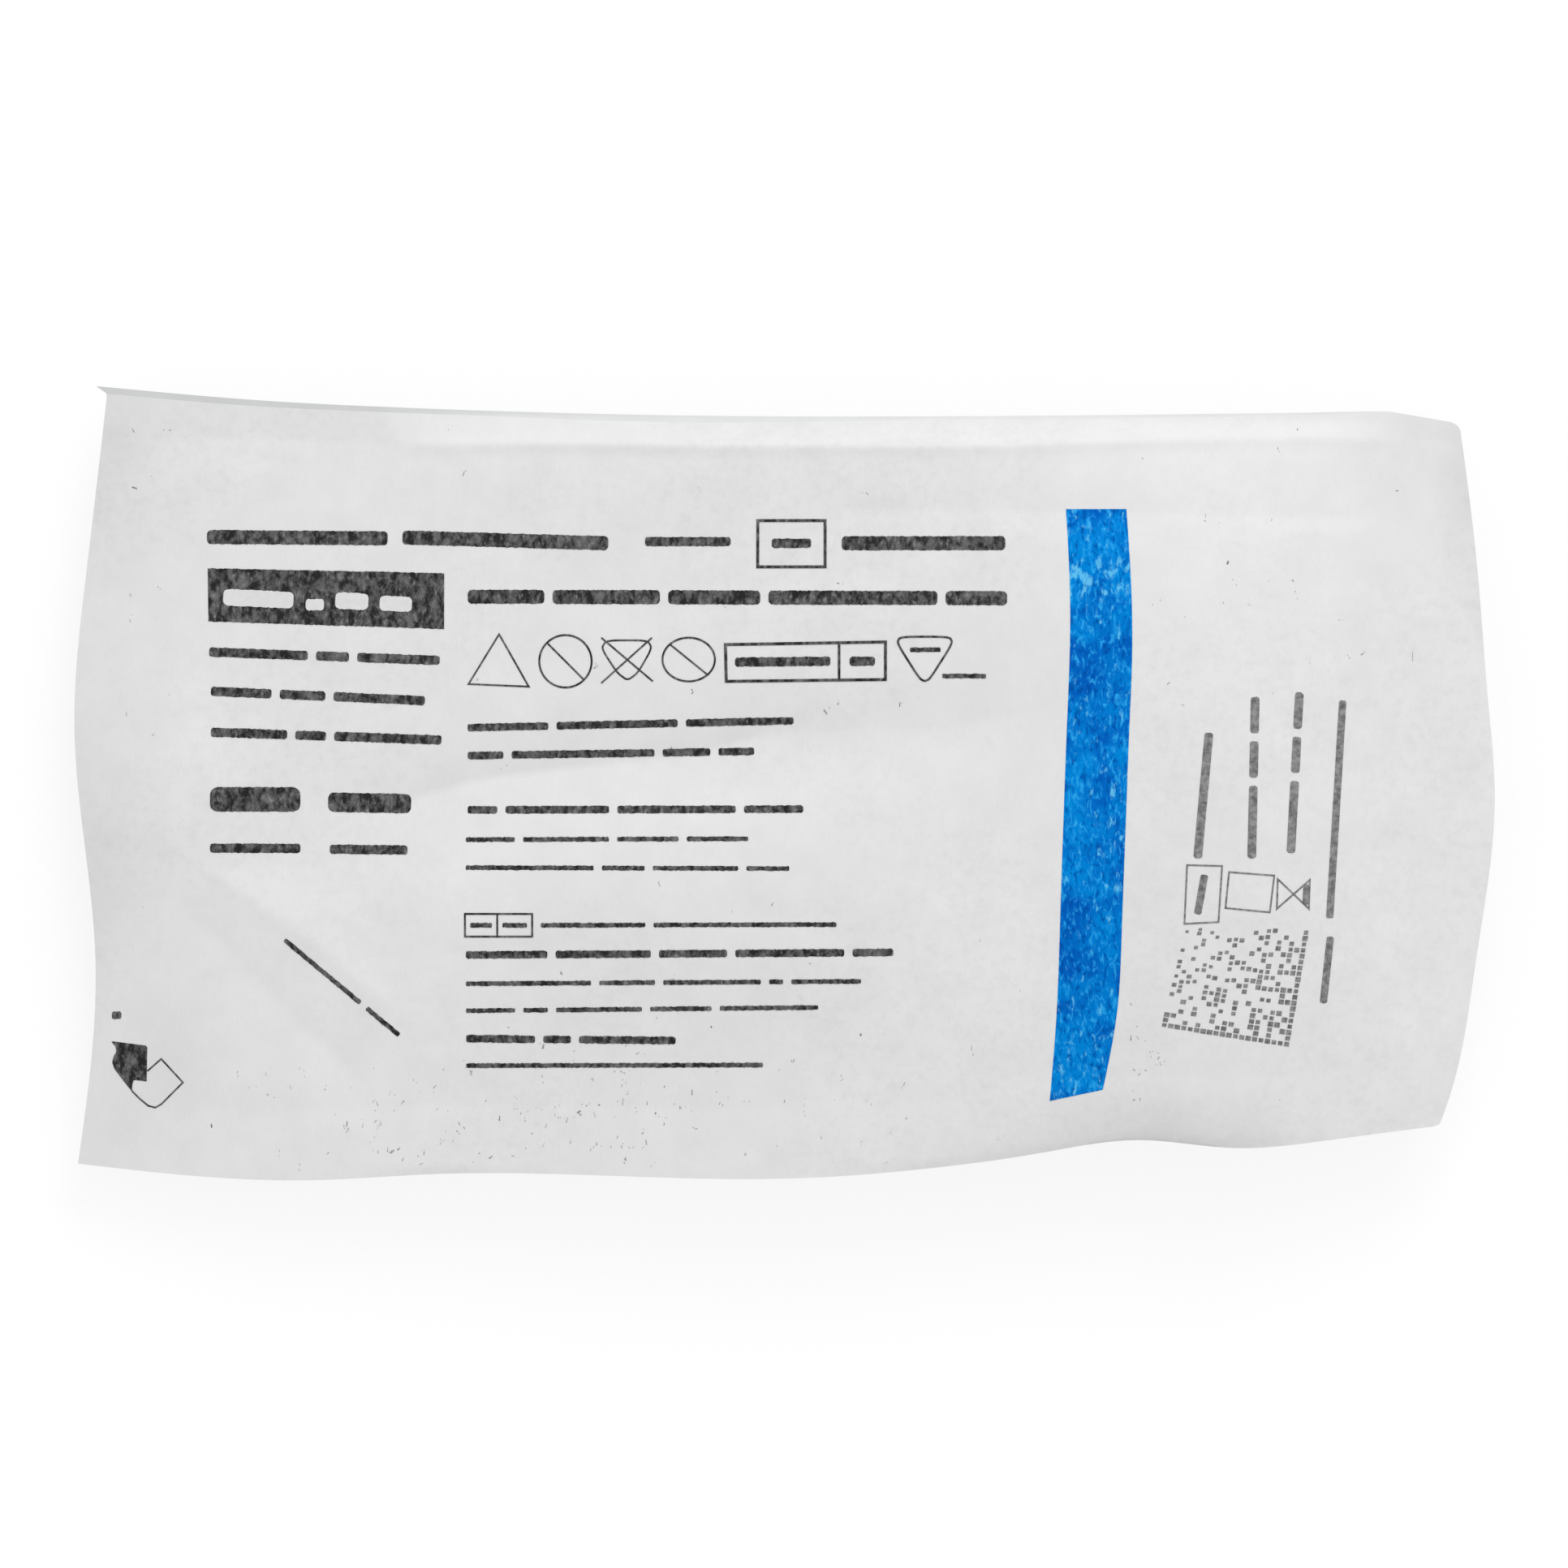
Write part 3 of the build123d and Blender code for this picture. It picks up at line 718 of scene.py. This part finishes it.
def bar(start, end, height):
    """A bar with rounded corners from start to end: a middle line, and half heights that follow
    a quarter circle into both ends."""
    length = np.hypot(*(end - start))
    radius = min(BAR_CORNER * height, length / 2)
    turn = radius * (1 - np.cos(np.linspace(0, np.pi / 2, BAR_CORNER_POINTS)))
    at = np.unique(np.round(np.concatenate([
        turn, np.linspace(radius, length - radius, max(2, int(length / STEP))), length - turn]), 4))
    near_end = np.clip(np.minimum(at, length - at), 0, radius)
    half = height / 2 - radius + np.sqrt(radius ** 2 - (radius - near_end) ** 2)
    middle = start + (end - start) * (at / length)[:, None]
    normal = np.array([start[1] - end[1], end[0] - start[0]]) / length
    return between_lines(ragged(middle - normal * half[:, None]),
                         ragged(middle + normal * half[:, None]), 3 if height > TALL_BAR else 2)


def words(lines):
    """One bar for each word of each line, as long as its share of what the gaps leave."""
    made = []
    for start, end, height, shares in lines:
        start, end = np.array(start, float), np.array(end, float)
        length = np.hypot(*(end - start))
        way = (end - start) / length
        sizes = np.array(shares) / sum(shares) * (length - WORD_GAP * (len(shares) - 1))
        begins = np.cumsum(sizes + WORD_GAP) - sizes - WORD_GAP
        made += [bar(start + way * at, start + way * (at + size), height)
                 for at, size in zip(begins, sizes)]
    return made


def frame_line(corners, width, closed=True):
    """A line of even width round some corners: at each point both sides lie half a width out
    along the mitre, the sum of its two runs' normals over 1 plus their dot product."""
    corners = np.array(corners, float)
    loop = np.concatenate([corners, corners[:1]]) if closed else corners
    runs = np.diff(loop, axis=0)
    normals = np.stack([-runs[:, 1], runs[:, 0]], -1) / np.hypot(*runs.T)[:, None]
    before = np.concatenate([normals[-1:] if closed else normals[:1], normals])
    after = np.concatenate([normals, normals[:1] if closed else normals[-1:]])
    mitre = (before + after) / (1 + (before * after).sum(1))[:, None]
    sides = [loop - mitre * width / 2, loop + mitre * width / 2]
    counts = np.maximum(1, (np.hypot(*runs.T) / STEP).astype(int))
    at = np.concatenate([i + np.arange(n) / n for i, n in enumerate(counts)] + [[len(runs)]])
    places = np.arange(len(loop))
    return between_lines(*[np.stack([np.interp(at, places, side[:, 0]),
                                     np.interp(at, places, side[:, 1])], -1) for side in sides], 2)


def oval(middle, half_across, half_up, count=48):
    """Points round an oval, the first one again at the end."""
    turn = np.linspace(0, 2 * np.pi, count + 1)
    return np.array(middle) + np.stack([half_across * np.cos(turn), half_up * np.sin(turn)], -1)


def rounded(corners, count=6):
    """A closed soft-cornered line: each corner is cut to a third of its runs and turned by
    a quadratic curve."""
    corners = np.array(corners, float)
    before, after = np.roll(corners, 1, 0), np.roll(corners, -1, 0)
    share = np.linspace(0, 1, count)[None, :, None]
    start = (corners + (before - corners) / 3)[:, None]
    end = (corners + (after - corners) / 3)[:, None]
    curve = (1 - share) ** 2 * start + 2 * share * (1 - share) * corners[:, None] + share ** 2 * end
    return curve.reshape(-1, 2)


# Black ink on spun fibre: a dark grey, mottled where the fibres take less of it
black_finish, black_tree = empty_finish("black_ink_on_fibre")
black_places = add_node(black_tree, "ShaderNodeTexCoord").outputs["Object"]
black_lie = add_node(black_tree, "ShaderNodeMapping", {
    "Vector": black_places, "Scale": (1.0, 0.6, 1.0)})
black_mottle = add_node(black_tree, "ShaderNodeTexNoise", {
    "Vector": black_lie.outputs[0], "Scale": METRE / MOTTLE_SIZE, "Detail": 4.0, "Roughness": 0.72,
    "Distortion": 0.15})
black_breaks = add_node(black_tree, "ShaderNodeMapRange", {
    "Value": black_mottle.outputs["Fac"], "From Min": 0.41, "From Max": 0.63})
black_body = add_node(black_tree, "ShaderNodeMix", {
    0: black_breaks.outputs[0], 6: linear("#1C1C1C"), 7: linear("#6A6A6A")}, data_type="RGBA")
black_spots = add_node(black_tree, "ShaderNodeTexNoise", {
    "Vector": black_lie.outputs[0], "Scale": METRE / THIN_SPOT_SIZE, "Detail": 2.0,
    "Roughness": 0.6})
black_thin = add_node(black_tree, "ShaderNodeMapRange", {
    "Value": black_spots.outputs["Fac"], "From Min": 0.60, "From Max": 0.76, "To Max": 0.6})
black_colour = add_node(black_tree, "ShaderNodeMix", {
    0: black_thin.outputs[0], 6: black_body.outputs[2], 7: linear("#8E8E8E")}, data_type="RGBA")
black_bump = add_node(black_tree, "ShaderNodeBump", {
    "Height": black_mottle.outputs["Fac"], "Strength": 0.3, "Distance": 0.00003})
black_shader = add_node(black_tree, "ShaderNodeBsdfPrincipled", {
    "Base Color": black_colour.outputs[2], "Roughness": 0.6, "Normal": black_bump.outputs[0],
    "IOR": 1.5, "Specular IOR Level": 0.15})
add_node(black_tree, "ShaderNodeOutputMaterial", {"Surface": black_shader.outputs[0]})

panel_bottom = ragged(evenly(np.array(PANEL[:2]), PANEL_GRID[1]))
panel_top = ragged(evenly(np.array(PANEL[:1:-1]), PANEL_GRID[1]))
ink_panel = closed_films("ink_panel", black_finish, [
    between_lines(panel_bottom, panel_top, PANEL_GRID[0])], ink_top, ink_bottom)
word_bars = closed_films("word_bars", black_finish, words(WORD_LINES), ink_top, ink_bottom)
symbol_frames = closed_films("symbol_frames", black_finish, (
    [frame_line(*line) for line in FRAME_LINES]
    + [frame_line(rounded(corners), width) for corners, width in SOFT_FRAMES]
    + [frame_line(oval(*ring)[:-1], RING_LINE) for ring in RINGS]
    + [frame_line([start, end], width, closed=False) for start, end, width in CROSS_LINES]),
    lambda x, y: ink_top(x, y) + FRAME_LIFT, ink_bottom)

# Paper left bare in the panel: the same white, seen through the black
bare_finish, bare_tree = empty_finish("bare_fibre_paper_in_print")
bare_places = add_node(bare_tree, "ShaderNodeTexCoord").outputs["Object"]
bare_mottle = add_node(bare_tree, "ShaderNodeTexNoise", {
    "Vector": bare_places, "Scale": METRE / BARE_SIZE, "Detail": 3.0, "Roughness": 0.6})
bare_colour = add_node(bare_tree, "ShaderNodeMix", {
    0: bare_mottle.outputs["Fac"], 6: linear("#CFCFCF"), 7: linear("#E4E4E4")}, data_type="RGBA")
bare_shader = add_node(bare_tree, "ShaderNodeBsdfPrincipled", {
    "Base Color": bare_colour.outputs[2], "Roughness": 0.65, "IOR": 1.5, "Specular IOR Level": 0.3})
add_node(bare_tree, "ShaderNodeOutputMaterial", {"Surface": bare_shader.outputs[0]})
panel_bars = closed_films("panel_bars", bare_finish, words(PANEL_LINES),
                          lambda x, y: ink_top(x, y) + BARE_LIFT, ink_top)
for piece in (ink_panel, word_bars, symbol_frames, panel_bars):
    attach(piece, "root")


# The peel mark: a small pictogram by the corner where the two webs are pulled apart, a dark flap
# turned back from the outline of a sheet. It is part of the black print.
FLAP_RIGHT = [(-77.1, -29.7), (-73.1, -30.2), (-73.2, -34.3), (-73.8, -33.8), (-74.3, -33.8),
              (-74.7, -34.2), (-74.9, -34.8), (-74.85, -35.4)]
FLAP_LEFT = [(-77.25, -29.75), (-76.8, -30.3), (-76.7, -30.9), (-77.0, -31.4), (-77.2, -32.1),
             (-76.9, -32.9), (-76.0, -34.1), (-74.95, -35.4)]
TURNED_SHEET = [(-73.1, -33.1), (-71.5, -31.7), (-69.0, -34.4), (-71.5, -36.9), (-72.2, -37.3),
                (-73.0, -37.1), (-74.0, -36.3), (-74.9, -35.4)]
FLAP_GRID = (8, 30)
SHEET_LINE = 0.18

flap_sides = [evenly(np.array(side), FLAP_GRID[1]) for side in (FLAP_RIGHT, FLAP_LEFT)]
peel_mark = closed_films("peel_mark", black_finish, [
    between_lines(*flap_sides, FLAP_GRID[0]),
    frame_line(TURNED_SHEET, SHEET_LINE, closed=False)], ink_top, ink_bottom)
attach(peel_mark, "root")


# The batch print: put on by a thermal printer when the pouch is sealed, so it is thinner and
# greyer than the rest, runs up the sheet and is patchy where the paper isn't flat.
BATCH_LINES = [
    ((47.2, -8.6), (48.5, 5.7), 1.0, (1,)),
    ((53.4, -8.6), (53.8, 9.8), 1.0, (4, 2, 2)),
    ((57.9, -8.0), (58.9, 10.3), 1.0, (4, 2, 2)),
    ((62.4, -15.5), (63.9, 9.4), 0.85, (1,)),
    ((61.7, -25.2), (62.5, -17.6), 0.85, (1,)),
    ((47.2, -15.0), (48.0, -10.5), 0.85, (1,)),
    ((59.6, -13.9), (59.7, -11.6), 0.70, (1,)),
]
BATCH_FRAMES = [
    ([(46.0, -9.4), (50.0, -9.5), (49.6, -15.9), (45.7, -16.1)], 0.20),
    ([(50.8, -10.2), (56.0, -10.6), (55.5, -14.8), (50.4, -14.3)], 0.20),
    ([(56.4, -11.0), (60.0, -14.4), (60.1, -11.1), (56.3, -14.4)], 0.20),
]
CODE_CORNERS = [(43.0, -27.9), (57.8, -30.3), (60.1, -16.8), (45.8, -16.4)]
CODE_MODULES = 20
CODE_SEED = 41
# The share of squares that are dark, how much of its place each fills, and how far it slips
DARK_SHARE, DARK_LOST = 0.52, 0.30
SQUARE_FILL, SQUARE_SPREAD, SQUARE_LOST = 0.66, 0.22, 0.22
SQUARE_SLIP, SLIP_ACROSS, SLIP_UP = 0.7, 0.9, 0.4
GAP_SIZE = 0.6


def code_block(corners, modules, seed):
    """Small squares on a skewed grid, with a full row along the bottom and a full column at the
    right. Which of the others are dark comes from a seeded draw, so the block says nothing.
    Towards its upper left, by up * (1 - across), they grow fewer, smaller and out of line."""
    draw = np.random.default_rng(seed)
    middles = (np.arange(modules) + 0.5) / modules
    missed = middles[:, None] * (1 - middles)
    dark = draw.random((modules, modules)) < DARK_SHARE - DARK_LOST * missed
    dark[0, :] = dark[:, -1] = True
    rows, columns = np.nonzero(dark)
    missed = missed[rows, columns]
    half = (SQUARE_FILL + SQUARE_SPREAD * draw.random(len(rows)) - SQUARE_LOST * missed) / 2
    slips = SQUARE_SLIP * missed * np.sin(SLIP_ACROSS * columns + SLIP_UP * rows)
    reach = half[:, None] * (-1, 1)
    up = ((rows + 0.5 + slips)[:, None] + reach)[:, :, None, None] / modules
    across = ((columns + 0.5)[:, None] + reach)[:, None, :, None] / modules
    low_left, low_right, high_right, high_left = np.array(corners)
    return list((1 - up) * ((1 - across) * low_left + across * low_right)
                + up * ((1 - across) * high_left + across * high_right))


# Thermal print: mid grey, with gaps where the ribbon missed the fibres
batch_finish, batch_tree = empty_finish("thermal_print_on_fibre")
batch_places = add_node(batch_tree, "ShaderNodeTexCoord").outputs["Object"]
batch_mottle = add_node(batch_tree, "ShaderNodeTexNoise", {
    "Vector": batch_places, "Scale": METRE / GAP_SIZE, "Detail": 3.0, "Roughness": 0.6})
batch_breaks = add_node(batch_tree, "ShaderNodeMapRange", {
    "Value": batch_mottle.outputs["Fac"], "From Min": 0.35, "From Max": 0.7})
batch_colour = add_node(batch_tree, "ShaderNodeMix", {
    0: batch_breaks.outputs[0], 6: linear("#5E5E5E"), 7: linear("#9A9A9A")}, data_type="RGBA")
batch_shader = add_node(batch_tree, "ShaderNodeBsdfPrincipled", {
    "Base Color": batch_colour.outputs[2], "Roughness": 0.6, "IOR": 1.5, "Specular IOR Level": 0.3})
add_node(batch_tree, "ShaderNodeOutputMaterial", {"Surface": batch_shader.outputs[0]})
batch_print = closed_films("batch_print", batch_finish, (
    words(BATCH_LINES) + [frame_line(*line) for line in BATCH_FRAMES]
    + code_block(CODE_CORNERS, CODE_MODULES, CODE_SEED)), ink_top, ink_bottom)
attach(batch_print, "root")


# Flecks: stray dark fibres and specks of dust caught in the paper as it was made, thickest
# along the bottom edge and round the foot of the stripe.
FLECK_GROUPS = [
    (170, (-18.0, -37.0), (21.0, 4.5)),
    (26, (40.5, -30.5), (2.2, 2.6)),
    (34, (-8.0, 8.0), (40.0, 24.0)),
    (16, (-20.0, -24.0), (26.0, 8.0)),
    (16, (-71.0, 24.0), (5.0, 14.0)),
    (34, (52.0, 24.0), (9.0, 8.0)),
    (60, (-40.0, -38.0), (9.0, 4.5)),
]
FLECK_SEED = 7
FLECK_LEFT, FLECK_MARGIN, FLECK_FAR = -76.0, 1.0, (72.0, 40.5)
# A fleck's half width and half height, its lean in radians and the way to one close beside it
FLECK_MEAN, FLECK_LEAST, FLECK_MOST = (0.045, 0.10), (0.04, 0.06), (0.16, 0.32)
FLECK_LEAN, FLECK_PAIR = 0.5, 0.4
FLECK_CORNERS = np.array([[(-1.0, -1.0), (0.6, -0.8)], [(-0.5, 0.9), (1.0, 1.0)]])
FLECK_TONE_SIZE, FLECK_LIFT = 1.5, 0.03


def flecks(groups, seed):
    """Small skewed quads, mostly upright, scattered round each group's middle by its spreads,
    every third one close beside another. Those past the left or the bottom edge are mirrored
    back from it. Their half sizes fall off as exp(-size / mean)."""
    draw = np.random.default_rng(seed)
    made = []
    for count, middle, spread in groups:
        places = np.array(middle) + draw.normal(size=(count, 2)) * spread
        beside = places[1::3]
        beside[:] = places[::3][:len(beside)] + draw.normal(0, FLECK_PAIR, beside.shape)
        inset = np.interp(places[:, 0] / HALF_LENGTH, *zip(*BOTTOM_BOW))
        low = np.stack([np.full(count, FLECK_LEFT), inset + FLECK_MARGIN - HALF_WIDTH], -1)
        places = np.minimum(low + np.abs(places - low), FLECK_FAR)
        half = np.clip(draw.exponential(FLECK_MEAN, (count, 2)), FLECK_LEAST, FLECK_MOST)
        lean = draw.normal(0, FLECK_LEAN, count)
        turn = np.array([[np.cos(lean), np.sin(lean)], [-np.sin(lean), np.cos(lean)]])
        quads = (FLECK_CORNERS * half[:, None, None]) @ turn.transpose(2, 0, 1)[:, None]
        made += list(places[:, None, None] + quads)
    return made


# Scorched fibre: mid grey with no sheen, and too small for sharp edges
fleck_finish, fleck_tree = empty_finish("stray_dark_fibre")
fleck_places = add_node(fleck_tree, "ShaderNodeTexCoord").outputs["Object"]
fleck_mottle = add_node(fleck_tree, "ShaderNodeTexNoise", {
    "Vector": fleck_places, "Scale": METRE / FLECK_TONE_SIZE, "Detail": 1.0})
fleck_tone = add_node(fleck_tree, "ShaderNodeMapRange", {
    "Value": fleck_mottle.outputs["Fac"], "From Min": 0.35, "From Max": 0.65})
fleck_colour = add_node(fleck_tree, "ShaderNodeMix", {
    0: fleck_tone.outputs[0], 6: linear("#707070"), 7: linear("#C4C4C4")}, data_type="RGBA")
fleck_shader = add_node(fleck_tree, "ShaderNodeBsdfPrincipled", {
    "Base Color": fleck_colour.outputs[2], "Roughness": 0.8, "IOR": 1.5})
add_node(fleck_tree, "ShaderNodeOutputMaterial", {"Surface": fleck_shader.outputs[0]})
paper_flecks = closed_films("paper_flecks", fleck_finish, flecks(FLECK_GROUPS, FLECK_SEED),
                            lambda x, y: paper_height(x, y) + FLECK_LIFT, ink_bottom, np.pi)
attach(paper_flecks, "root")
